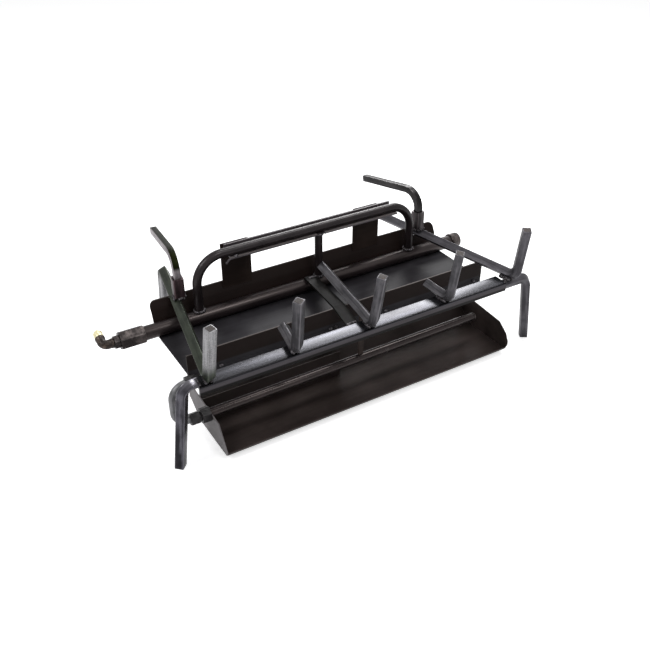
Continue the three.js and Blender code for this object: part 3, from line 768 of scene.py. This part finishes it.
BAR_STEEL = mill_scale_bar("bar_steel", "bar", rgb(94, 92, 97), rgb(54, 52, 56))
FINGER_STEEL = mill_scale_bar("finger_steel", "bar", rgb(106, 104, 108), rgb(58, 57, 60))
# The left bar's tip is painted lighter, a painted highlight where the key light falls; below 0.13 m
# it is lighter too
LEFT_STEEL = mill_scale_bar("left_steel", "bar", rgb(62, 68, 57), rgb(38, 43, 35),
                            wear_and_highlight=((0.143, 0.4, 0.62), (-0.1, 0.13, 0.6)))
# The bend of the left leg is painted lighter above 0.122 m: a painted glint
LEG_STEEL = mill_scale_bar("left_leg_steel", "bar", rgb(100, 98, 106), rgb(26, 25, 30),
                           wear_and_highlight=((0.122, 0.4, 0.3),), base_roughness=0.2)
# The top side of the left post's arm is painted dark olive: painted shade
POST_STEEL = mill_scale_bar("post_steel", "post", rgb(156, 149, 152), rgb(102, 95, 99),
                            size=POST_BAR, face=(2, rgb(24, 26, 12), 0.183))
SOCKET_STEEL = mill_scale_bar("socket_steel", "post", rgb(96, 78, 82), rgb(48, 36, 39),
                              size=SOCKET_OUTER)
DARK_POST = mill_scale_bar("dark_post_steel", "post", rgb(50, 47, 48), rgb(21, 19, 20),
                           size=POST_BAR, base_roughness=0.32)
DARK_SOCKET = mill_scale_bar("dark_socket_steel", "post", rgb(84, 77, 79), rgb(36, 32, 33),
                             size=SOCKET_OUTER)
STRAP_STEEL = dark_sheet("strap_steel", "bar", rgb(36, 35, 35), rgb(24, 23, 23), sheen=0.04)
RAIL_STEEL = rolled_angle()
# The top edges of the pan's front wall and back lip carry painted highlights
PAN_SHEET = dark_sheet("pan_sheet", "sheet", rgb(51, 50, 53), rgb(36, 34, 37), sheen=0.09,
                       lit_edges=((65, 68.4, 122.6), (200, 206, 136.6)),
                       raised=(96, rgb(30, 20, 16)))
SHELF_SHEET = dark_sheet("shelf_sheet", "sheet", rgb(56, 46, 42), rgb(38, 30, 27), sheen=0.15)
# The shelf's top edges carry painted highlights
SHELF_STEEL = dark_sheet("shelf_steel", "sheet", rgb(94, 88, 92), rgb(68, 62, 65), sheen=0.3,
                         lit_edges=((168, 172.6, 190.7), (190, 196, 203.9)))
# The baffle's top edge carries a painted highlight
EMBER_SHEET = dark_sheet("ember_sheet", "sheet", rgb(63, 55, 53), rgb(48, 41, 39), sheen=0.15,
                         lit_edges=((55, 58, 50.9),))
END_SHEET = dark_sheet("end_sheet", "sheet", rgb(132, 128, 130), rgb(104, 100, 101))
BURNER_PIPE = black_pipe("burner_pipe", (1, 0.86, 0.83, 1), 0.6, 0.25)
LOOP_PIPE = black_pipe("loop_pipe", (1, 0.96, 0.98, 1), 0.34, 0.25)
EMBER_PIPE = black_pipe("ember_pipe", (1, 0.86, 0.82, 1), 0.46, 0.2)
SAWN_STEEL = sawn_steel()
FITTING = cast_fitting("cast_fitting", rgb(98, 90, 88), rgb(38, 32, 31), 0.5)
ELBOW_FITTING = cast_fitting("elbow_casting", rgb(92, 78, 70), rgb(38, 31, 28), 0.5)
DARK_NUT = cast_fitting("dark_nut", rgb(44, 41, 42), rgb(24, 22, 23), 0.2)
TUBE = bright_tube()
BRASS = machined_brass()
WELD = weld_metal()

SIDE_STEELS = {"left": LEFT_STEEL, "right": BAR_STEEL}
LEG_STEELS = {"left": LEG_STEEL, "right": BAR_STEEL}
POST_STEELS = {"left": POST_STEEL, "right": DARK_POST}
SOCKET_STEELS = {"left": SOCKET_STEEL, "right": DARK_SOCKET}

# Grate


def heading(turn):
    """The side vector of a bar that runs back and turns to the right by an angle."""
    return np.array([math.cos(turn), -math.sin(turn), 0.0])


def side_x(side, y):
    """How far out a side bar's middle line lies at a depth."""
    return SIDE_X - SIDE_TAPER[side] * y


for side, hand in HANDS.items():
    corner = np.array([hand * side_x(side, FINGER_Y), FINGER_Y, BAR_Z])
    tip = corner + [-hand * FINGER_TUCK, -FINGER_LEAN, FINGER_RISE]
    rear = np.array([hand * side_x(side, REAR_Y), REAR_Y, BAR_Z])
    foot = rear + [hand * REAR_FOOT_OUT, 0, -BAR_Z]
    bar(f"{side}_bar", [tip, corner, rear, foot], heading(-hand * math.atan(SIDE_TAPER[side])),
        SIDE_STEELS[side], [f"{side}_side_bar"], twist=SIDE_TWISTS[side], level=True, sawn=True)
    top = LEG_TOPS[side]
    arm_end = {"left": RAIL_X[0] - GAP, "right": RAIL_X[1] + GAP}[side]
    knee = (hand * (FOOT_X - LEG_SPLAY * top), 0, top)
    bar(f"{side}_leg", [(arm_end, 0, top), knee, (hand * FOOT_X, 0, 0)], (0, -1, 0),
        LEG_STEELS[side], [f"{side}_front_leg"], twist=LEG_TWISTS[side], level=True)

# X, heading in degrees, where the tail ends in Y, and the tip's rise and sway to the right
INNER_BARS = {
    "second": (-128.7, 11, 49, 85, 0),
    "middle": (-6, 7.5, 169.75, 82, 5),
    "fourth": (128.7, -2, 42, 81, 0),
}
for name, (x, degrees, end, rise, sway) in INNER_BARS.items():
    turn = math.radians(degrees)
    corner = np.array([x, FINGER_Y, BAR_Z])
    back = np.array([math.sin(turn), math.cos(turn), 0])
    tip = corner - back * FINGER_LEAN + [sway, 0, rise]
    tail = corner + back * (end - FINGER_Y) / math.cos(turn)
    bar(f"{name}_bar", [tip, corner, tail], heading(turn), FINGER_STEEL, [f"{name}_finger"],
        sawn=True)

rail_outline = filleted([
    (RAIL_Y[0], RAIL_LOW), (RAIL_Y[0] + PLATE, RAIL_LOW), (RAIL_Y[0] + PLATE, RAIL_TOP - PLATE),
    (RAIL_Y[1], RAIL_TOP - PLATE), (RAIL_Y[1], RAIL_TOP), (RAIL_Y[0], RAIL_TOP),
], [1.2, 0.3, 2.2, 1.2, 0.3, 0.6])
shaped("rail", rail_outline, *RAIL_X, RAIL_STEEL, ["front_rail"])

# Weld runs where the bars cross the rail, on both sides of each bar: its X and heading in degrees
CROSSINGS = {
    "left": (-256.5, 11),
    "second": (-128.7, 11),
    "middle": (-6, 7.5),
    "fourth": (128.7, -2),
    "right": (254.5, -11.5),
}
run_y = np.linspace(-6.5, 14, 5)
run_z = RAIL_TOP + 2 + 0.5 * (run_y < -5)
for k, (name, (x, degrees)) in enumerate(CROSSINGS.items()):
    slope = math.tan(math.radians(degrees))
    for side, hand in HANDS.items():
        run_x = x + hand * 3.4 + slope * (run_y - FINGER_Y)
        bead(f"{name}_rail_weld_{side}", np.stack([run_x, run_y, run_z], 1), 2.7, 2 * k + hand)

# Leg arms to the rail's ends and the side bars
left_end, right_end = RAIL_X
left_run = [(left_end + 1, -6, 124.5), (left_end + 2, 2, 126), (left_end + 1, 9, 124.5)]
right_run = [(right_end - 1, -7, 122.5), (right_end + 3, -1, 125.5), (right_end + 9, 3, 126.5)]
bead("left_leg_weld", left_run, 2.6, 21)
bead("right_leg_weld", right_run, 2.6, 22)

# Sockets and the loose posts

arm_turn = math.atan(ARM_TUCK / (ARM_Y - SOCKET_Y))
outer = square_section(SOCKET_OUTER, 1.3, flat=True)
inner = square_section(SOCKET_INNER, 0.5, flat=True)
up = np.array([[0, 0, 1.0]])
for side, hand in HANDS.items():
    across = heading(-hand * arm_turn)
    foot = np.array([hand * SOCKET_X, SOCKET_Y, SOCKET_FOOT])
    head = foot + [0, 0, SOCKET_HEIGHT]
    rings = ((foot, inner), (foot, outer), (head, outer), (head, inner))
    shell = [carried(section, place[None], up, across)[0] for place, section in rings]
    skin(f"{side}_socket", np.stack(shell), SOCKET_STEELS[side], [f"{side}_post_socket"],
         closed=True)
    corner = foot + [0, 0, POST_TOP - SOCKET_FOOT]
    end = np.array([hand * (SOCKET_X - ARM_TUCK), ARM_Y, ARM_Z])
    bar(f"{side}_post", [foot, corner, end], across, POST_STEELS[side], [f"{side}_rear_post"],
        f"{side}_post", POST_BAR, flat=True, bend=POST_BEND)
    run = np.array([-hand * SIDE_TAPER[side], 1.0, 0]) * 7
    for k, out in enumerate((-1, 1)):
        middle = foot + [out * 8.2, 0, -1.2]
        bead(f"{side}_socket_weld_{k}", [middle - run, middle, middle + run], 2.2, 30 + k + hand)
    front = foot + [0, -8.2, -1.0]
    front_run = [front + [-6, 0.5, -1.5], front, front + [6, 0.5, -1.5]]
    bead(f"{side}_socket_weld_front", front_run, 2.3, 36 + hand)

# Pan burner

softened("pan", "main_pan", PAN_SHEET)
hem = rectangle((PAN_FRONT[0], HEM_LOW), (PAN_FRONT[1], PAN_LOW), 0.3)
shaped("pan_hem", hem, -PAN_HALF, PAN_HALF, PAN_SHEET, [])
for k, x in enumerate((-208, -30, -21, 69, 241)):
    bead(f"hem_tack_{k}", [(x - 3, 65, 90.6), (x, 64.7, 91.2), (x + 3, 65, 90.6)], 2.1, 90 + k)
burner_tube = pipe("burner_tube", -PIPE_END, PIPE_END, PIPE_RADIUS, PIPE_BORE, PIPE_AXIS, ALONG_X,
                   BURNER_PIPE, ["main_burner_tube"])
ported(burner_tube, -PIPE_END, PIPE_END, PIPE_AXIS, ALONG_X, (0, 0, -1), PIPE_RADIUS,
       PIPE_RADIUS - PIPE_BORE)
cap_profile = [(18, 0.5), (18, 9.6), (16.9, 11.9), (14.4, 12.7), (6.5, 12.7), (5.6, 13),
               (0.8, 13), (0, 12.2), (0, 0.5)]
turned("pipe_cap", cap_profile, (PIPE_END + GAP, PIPE_Y, PIPE_Z), ALONG_X, FITTING, ["end_cap"])
hex_nut("coupling", COUPLING_LEFT, -PIPE_END - GAP, COUPLING_FLATS, PIPE_BORE, PIPE_AXIS, FITTING,
        ["inlet_coupling"])
pipe("orifice", *ORIFICE_X, PIPE_BORE - ORIFICE_CLEAR, ORIFICE_BORE, PIPE_AXIS, ALONG_X, BRASS,
     ["gas_orifice"], corner=0.2)
hex_nut("bushing", ELBOW_X + GAP, COUPLING_LEFT - GAP, BUSHING_FLATS, PIPE_BORE / 2, PIPE_AXIS,
        FITTING, ["inlet_bushing"])

# Inlet elbow, with a collar at both ends, and its flared end, turned up about the tube's axis

inlet = np.array([ELBOW_X, PIPE_Y, PIPE_Z])
knee = inlet - [ELBOW_REACH, 0, 0]
tilt = math.radians(ELBOW_TILT)
outward = np.array([0, math.cos(tilt), math.sin(tilt)])
points, tangents = bent_path([inlet, knee, knee + outward * ELBOW_REACH], ELBOW_RADIUS, 14)
points, tangents, scale = eased_ends(points, tangents, END_EDGE, ELBOW_RADIUS, 0.8)
reach = np.concatenate([[0], np.cumsum(np.linalg.norm(np.diff(points, axis=0), axis=1))])
from_end = np.minimum(reach, reach[-1] - reach)
scale *= np.where(from_end < ELBOW_COLLAR, 1.0, ELBOW_NECK)
elbow = carried(round_section(ELBOW_RADIUS), points, tangents, np.cross(ALONG_X, outward), scale)
skin("elbow", elbow, ELBOW_FITTING, ["inlet_elbow"], "inlet")
flare_profile = [(0, 3.93), (12, 3.93), (12, 4.3), (8.4, 6.75), (7.6, 6.75), (7.2, 6.2),
                 (6.4, 6.75), (5.6, 6.2), (4.8, 6.75), (4.0, 6.2), (3.2, 6.75), (0, 6.75)]
turned("flare", flare_profile, knee + outward * (ELBOW_REACH + GAP), outward, BRASS,
       ["flare_end"], "inlet", corner=0.15)

# Loop burner, its riser, shelf and brackets

loop_corners = [(-LOOP_HALF, PIPE_Y, LOOP_FOOT), (-LOOP_HALF, PIPE_Y, LOOP_TOP),
                (LOOP_HALF, PIPE_Y, LOOP_TOP), (LOOP_HALF, PIPE_Y, LOOP_FOOT)]
loop = rod("loop", loop_corners, LOOP_RADIUS, (0, 1, 0), LOOP_PIPE, ["loop_burner"], LOOP_BEND, 28)
ported(loop, -LOOP_HALF, LOOP_HALF, (0, PIPE_Y, LOOP_TOP), ALONG_X, (0, 1, 0), LOOP_RADIUS,
       LOOP_WALL)
for k, (side, hand) in enumerate(HANDS.items()):
    ring_bead(f"{side}_loop_weld", (hand * LOOP_HALF, PIPE_Y, LOOP_FOOT + 0.6), 7.4, 2.2, 40 + k)
riser_length = RISER_TOP - LOOP_FOOT
riser_profile = [(riser_length, 0.4), (riser_length, RISER_RADIUS), (0, RISER_RADIUS), (0, 0.4)]
turned("riser", riser_profile, (RISER_X, PIPE_Y, LOOP_FOOT), (0, 0, 1), LOOP_PIPE, ["centre_riser"])
ring_bead("riser_weld", (RISER_X, PIPE_Y, LOOP_FOOT + 0.6), 6.9, 2.1, 43)
ring_bead("riser_cap_weld", (RISER_X, PIPE_Y, RISER_TOP - 3.2), 6.7, 1.9, 44)
softened("shelf", "loop_shelf", SHELF_STEEL, 0.5)
nose = rectangle((168.6, 188.2), (177.4, 191.3), 0.4)
for side, start, end in (("left", -136, RISER_X - 6.8), ("right", RISER_X + 6.8, 158)):
    shaped(f"shelf_nose_{side}", nose, start, end, SHELF_STEEL, [])
hook = [(-134, 169.8, 189.8), (-139, 169.6, 188.6), (-143.5, 170.4, 182.6)]
rod("shelf_hook", hook, 1.5, (0, 1, 0), SHELF_STEEL, [], 2.5, 6, 16)
nose_run = [(-131, 170.2, 191.6), (-127.5, 169.6, 191.9), (-124, 170.2, 191.6)]
bead("shelf_nose_weld", nose_run, 2.3, 70)
softened("left_bracket", "left_shelf_bracket", SHELF_SHEET)
softened("right_bracket", "right_shelf_bracket", SHELF_SHEET)
for k, x in enumerate((-118, -40, 60, 126)):
    low, high = (PIPE_Y + 3.5, RISER_TOP + 0.6), (PIPE_Y + 4, RISER_TOP + 0.9)
    bead(f"shelf_weld_{k}", [(x - 5, *low), (x, *high), (x + 5, *low)], 2.0, 50 + k)
for k, x in enumerate((-128, -100, 104, 128)):
    bead(f"bracket_weld_{k}", [(x - 5, 194.6, 186.4), (x + 5, 194.6, 186.4)], 1.6, 56 + k)

# Strap

softened("strap", "centre_strap", STRAP_STEEL, 0.5)
bead("strap_weld", [(-31, 20.5, 121.8), (-22, 21, 122.2), (-13, 21.5, 121.8)], 2.4, 61)
bead("strap_back_weld", [(-8.5, 168, 118.4), (-1, 168.6, 118.6), (7, 169, 118.4)], 2.0, 62)

# Ember burner

softened("tray", "ember_tray", EMBER_SHEET)
softened("left_end", "left_ember_end", END_SHEET)
softened("right_end", "right_ember_end", EMBER_SHEET)
softened("baffle", "ember_baffle", EMBER_SHEET)
softened("hanger", "ember_hanger", SHELF_SHEET)
length = EMBER_HALF + EMBER_END
climb = math.atan(EMBER_RISE / length)
axis = np.array([math.cos(climb), 0, math.sin(climb)])
down = np.array([math.sin(climb), 0, -math.cos(climb)])
origin = np.array([-EMBER_HALF, EMBER_Y, EMBER_Z])
ember_tube = pipe("ember_tube", -EMBER_SEAT, length, EMBER_RADIUS, EMBER_RADIUS - EMBER_WALL,
                  origin, axis, EMBER_PIPE, ["ember_burner_tube"])
ported(ember_tube, 0, length, origin, axis, down, EMBER_RADIUS, EMBER_WALL)
plug_profile = [(3.2, 0.4), (3.2, 6.3), (2.7, EMBER_RADIUS), (GAP, EMBER_RADIUS), (GAP, 0.4)]
turned("tube_plug", plug_profile, origin + axis * length, axis, FITTING, ["ember_plug"])

# Feed tube, its nuts and fittings

feed_end = FEED_X + FEED_BEND + NUT_LENGTH / 2
feed_top = EMBER_Z + FEED_RISE
feed = [(feed_end, EMBER_Y, feed_top), (FEED_X, EMBER_Y, feed_top),
        (FEED_X, EMBER_Y, EMBER_Z), (feed_end, EMBER_Y, EMBER_Z)]
rod("feed", feed, FEED_RADIUS, (0, 1, 0), TUBE, ["feed_tube"], FEED_BEND, 24)
nut_left = FEED_X + FEED_BEND + GAP
nut_right = nut_left + NUT_LENGTH
lock_left = -EMBER_HALF - GAP - NUT_LENGTH
for name, z, fitting in (("lower", EMBER_Z, "feed_nipple"), ("upper", feed_top, "feed_inlet")):
    centre = (0, EMBER_Y, z)
    hex_nut(f"{name}_flare_nut", nut_left, nut_right, FEED_NUT_FLATS, FEED_RADIUS + GAP, centre,
            DARK_NUT, [f"feed_{name}_nut"])
    pipe(f"{name}_fitting", nut_right + GAP, lock_left + NIPPLE_SEAT, NIPPLE_RADIUS, NIPPLE_BORE,
         centre, ALONG_X, DARK_NUT, [fitting])
hex_nut("lock_nut", lock_left, lock_left + NUT_LENGTH, LOCK_NUT_FLATS, EMBER_RADIUS + GAP,
        (0, EMBER_Y, EMBER_Z), DARK_NUT, ["ember_lock_nut"])

# Floor, light and sky, in metres

FLOOR_HALF = 6
FLOOR_Z = -0.0002
LOOK_AT = np.array([0, 0, 0.1])

signs = ((-1, -1), (1, -1), (1, 1), (-1, 1))
floor_mesh = bpy.data.meshes.new("floor")
floor_corners = [(x * FLOOR_HALF, y * FLOOR_HALF, FLOOR_Z) for x, y in signs]
floor_mesh.from_pydata(floor_corners, [], [(0, 1, 2, 3)])
floor = bpy.data.objects.new("floor", floor_mesh)
bpy.context.collection.objects.link(floor)
floor_paint = bpy.data.materials.new("floor_paint")
floor_paint.use_nodes = True
tree = floor_paint.node_tree
tree.nodes.clear()
out = tree.nodes.new("ShaderNodeOutputMaterial")
diffuse = tree.nodes.new("ShaderNodeBsdfDiffuse")
diffuse.inputs["Color"].default_value = (0.86, 0.86, 0.87, 1)
glow = tree.nodes.new("ShaderNodeEmission")
rays = tree.nodes.new("ShaderNodeLightPath")
seen = Value(tree, rays.outputs["Is Camera Ray"])
mirrored = Value(tree, rays.outputs["Is Glossy Ray"])
strength = seen * 0.6 + mirrored * 0.2
tree.links.new(strength.socket, glow.inputs["Strength"])
both = tree.nodes.new("ShaderNodeAddShader")
tree.links.new(diffuse.outputs[0], both.inputs[0])
tree.links.new(glow.outputs[0], both.inputs[1])
tree.links.new(both.outputs[0], out.inputs[0])
floor.data.materials.append(floor_paint)

world = bpy.data.worlds.new("studio")
bpy.context.scene.world = world
world.use_nodes = True
tree = world.node_tree
background = tree.nodes["Background"]
background.inputs["Color"].default_value = (1, 1, 1, 1)
rays = tree.nodes.new("ShaderNodeLightPath")
seen = Value(tree, rays.outputs["Is Camera Ray"])
mirrored = Value(tree, rays.outputs["Is Glossy Ray"])
passed = Value(tree, rays.outputs["Is Transmission Ray"])
level = seen * 0.65 + (mirrored + passed) * 0.25 + 0.35
tree.links.new(level.socket, background.inputs["Strength"])


def softbox(name, place, size, power):
    """A rectangular lamp that looks at the set, with its two sides and its power in watts."""
    data = bpy.data.lights.new(name, "AREA")
    data.shape = "RECTANGLE"
    data.size, data.size_y = size
    data.energy = power
    lamp = bpy.data.objects.new(name, data)
    bpy.context.collection.objects.link(lamp)
    lamp.location = place
    lamp.rotation_euler = Vector(LOOK_AT - place).to_track_quat("-Z", "Y").to_euler()


softbox("key_softbox", (-1.7, -0.1, 1.7), (0.9, 0.9), 18)
softbox("top_softbox", (0.8, 0.22, 1.95), (0.42, 1.5), 17)
softbox("front_softbox", (0.2, -1.15, 1.7), (0.5, 0.5), 7)
softbox("back_softbox", (1.03, 1.43, 1.1), (0.87, 0.6), 20)

bpy.context.scene.view_settings.view_transform = "Standard"
